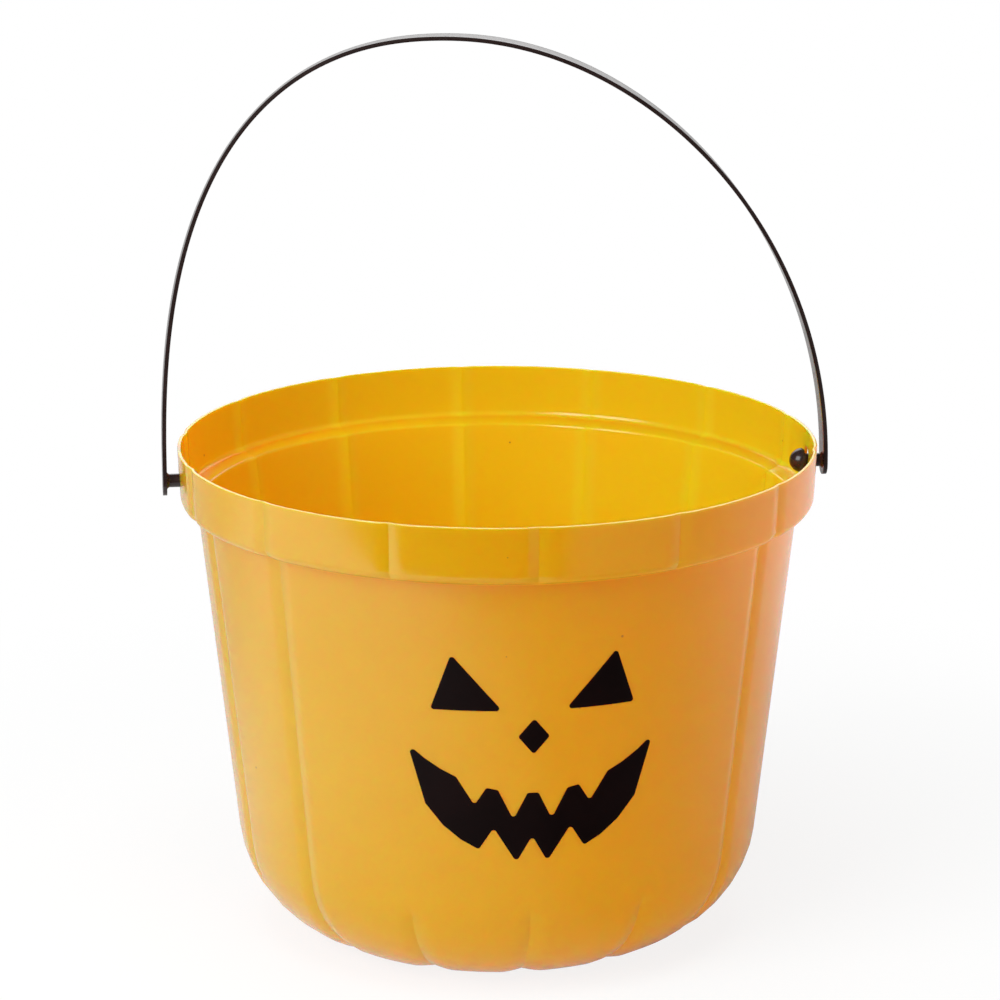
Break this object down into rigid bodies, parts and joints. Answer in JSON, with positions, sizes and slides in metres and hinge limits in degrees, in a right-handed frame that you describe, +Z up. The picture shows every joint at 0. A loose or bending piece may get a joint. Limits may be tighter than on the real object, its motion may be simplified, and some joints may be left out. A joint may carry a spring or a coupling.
{
  "type": "pumpkin candy pail",
  "caption": "Moulded plastic treat pail with creased pumpkin lobes, a stepped rim band, a printed grinning face and a black strap handle that swings on snap studs.",
  "frame": {"origin": "centre of the base, on the surface that the pail stands on", "axes": "+Z up along the pail's axis, the printed face looks along -Y, the handle turns about an axis along X"},
  "size_m": [0.1991, 0.19, 0.2708],
  "materials": {
    "pail_plastic": "smooth gloss, slightly translucent orange",
    "handle_plastic": "smooth gloss black",
    "face_ink": "gloss black printing ink"
  },
  "bodies": {
    "pail": {"pail_body": "pail_plastic", "left_eye_print": "face_ink", "right_eye_print": "face_ink", "nose_print": "face_ink", "mouth_print": "face_ink"},
    "handle": {"handle": "handle_plastic"}
  },
  "joints": [
    {"name": "handle_swing", "type": "hinge", "parent": "pail", "child": "handle", "pos_m": [0, 0, 0.14], "axis": [1, 0, 0], "range_deg": [-138, 138]}
  ]
}
